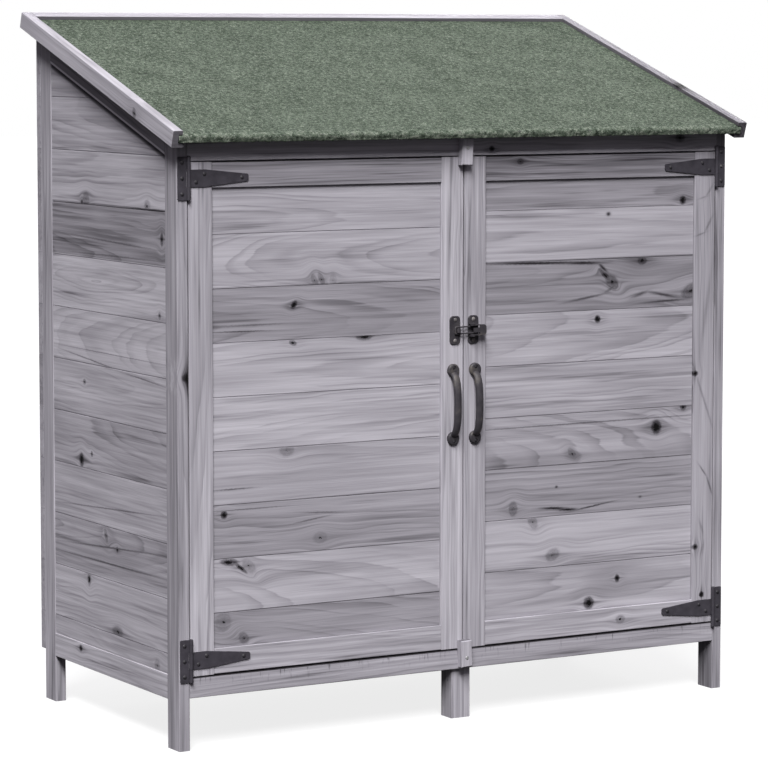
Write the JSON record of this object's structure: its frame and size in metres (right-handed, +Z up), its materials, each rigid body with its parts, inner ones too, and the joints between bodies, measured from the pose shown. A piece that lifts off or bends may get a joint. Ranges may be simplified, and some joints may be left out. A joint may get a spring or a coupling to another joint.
{
  "type": "garden shed",
  "caption": "Low timber garden shed on short legs with a sloping felted lean-to roof, boarded double doors, tee hinges, bow handles, a toggle latch and wooden turn buttons.",
  "frame": {"origin": "on the ground, under the middle of the whole shed with its roof", "axes": "+X to the right along the front as seen from in front, +Y from the doors to the back, +Z up"},
  "size_m": [1.04, 0.5496, 1.112],
  "materials": {
    "grey_timber": "grey-washed planed softwood with knots",
    "roof_panel": "plain sheathing board",
    "mineral_felt": "grey-green mineral-faced bitumen felt",
    "zinc_screw": "bright zinc",
    "black_hardware": "satin black"
  },
  "bodies": {
    "shed_frame": {"back_boards": "grey_timber", "bottom_pivot_screw": "zinc_screw", "floor_bearers": "grey_timber", "floor_boards": "grey_timber", "front_centre_leg": "grey_timber", "front_header": "grey_timber", "front_left_post": "grey_timber", "front_right_post": "grey_timber", "front_sill": "grey_timber", "hinge_leaf_screws": "black_hardware", "left_rake_trim": "grey_timber", "left_side_boards": "grey_timber", "left_side_bottom_rail": "grey_timber", "left_side_top_rail": "grey_timber", "lower_left_hinge_leaf": "black_hardware", "lower_left_hinge_pin": "black_hardware", "lower_right_hinge_leaf": "black_hardware", "lower_right_hinge_pin": "black_hardware", "rear_bottom_rail": "grey_timber", "rear_left_post": "grey_timber", "rear_right_post": "grey_timber", "rear_top_rail": "grey_timber", "rear_trim": "grey_timber", "right_rake_trim": "grey_timber", "right_side_boards": "grey_timber", "right_side_bottom_rail": "grey_timber", "right_side_top_rail": "grey_timber", "roof_felt": "mineral_felt", "roof_panel": "roof_panel", "top_pivot_screw": "zinc_screw", "upper_left_hinge_leaf": "black_hardware", "upper_left_hinge_pin": "black_hardware", "upper_right_hinge_leaf": "black_hardware", "upper_right_hinge_pin": "black_hardware"},
    "left_door": {"latch_catch_plate": "black_hardware", "left_door_boards": "grey_timber", "left_door_bottom_rail": "grey_timber", "left_door_hinge_stile": "grey_timber", "left_door_meeting_stile": "grey_timber", "left_door_screws": "black_hardware", "left_door_top_rail": "grey_timber", "left_pull_handle": "black_hardware", "lower_left_hinge_strap": "black_hardware", "upper_left_hinge_strap": "black_hardware"},
    "right_door": {"latch_base_plate": "black_hardware", "latch_rivets": "black_hardware", "lower_right_hinge_strap": "black_hardware", "right_door_boards": "grey_timber", "right_door_bottom_rail": "grey_timber", "right_door_hinge_stile": "grey_timber", "right_door_meeting_stile": "grey_timber", "right_door_screws": "black_hardware", "right_door_top_rail": "grey_timber", "right_pull_handle": "black_hardware", "upper_right_hinge_strap": "black_hardware"},
    "top_turn_button": {"top_turn_button": "grey_timber"},
    "bottom_turn_button": {"bottom_turn_button": "grey_timber"},
    "latch_lever": {"latch_lever": "black_hardware"},
    "latch_bail": {"latch_bail": "black_hardware"}
  },
  "joints": [
    {"name": "left_door_hinge", "type": "hinge", "parent": "shed_frame", "child": "left_door", "pos_m": [-0.481, -0.24611, 0.49975], "axis": [0, 0, -1], "range_deg": [0, 180]},
    {"name": "right_door_hinge", "type": "hinge", "parent": "shed_frame", "child": "right_door", "pos_m": [0.481, -0.24611, 0.49975], "axis": [0, 0, 1], "range_deg": [0, 180]},
    {"name": "top_button_pivot", "type": "hinge", "parent": "shed_frame", "child": "top_turn_button", "pos_m": [0, -0.24931, 0.901], "axis": [0, -1, 0], "range_deg": [-90, 90]},
    {"name": "bottom_button_pivot", "type": "hinge", "parent": "shed_frame", "child": "bottom_turn_button", "pos_m": [0, -0.24931, 0.0985], "axis": [0, -1, 0], "range_deg": [-90, 90]},
    {"name": "latch_lever_pivot", "type": "hinge", "parent": "right_door", "child": "latch_lever", "pos_m": [0.01215, -0.25061, 0.616], "axis": [0, 0, -1], "range_deg": [0, 110]},
    {"name": "latch_bail_pivot", "type": "hinge", "parent": "latch_lever", "child": "latch_bail", "pos_m": [0.01815, -0.24781, 0.616], "axis": [0, 0, -1], "range_deg": [-110, 0]}
  ],
  "couplings": [
    {"joint": "latch_bail_pivot", "follows": "latch_lever_pivot", "ratio": -1}
  ]
}
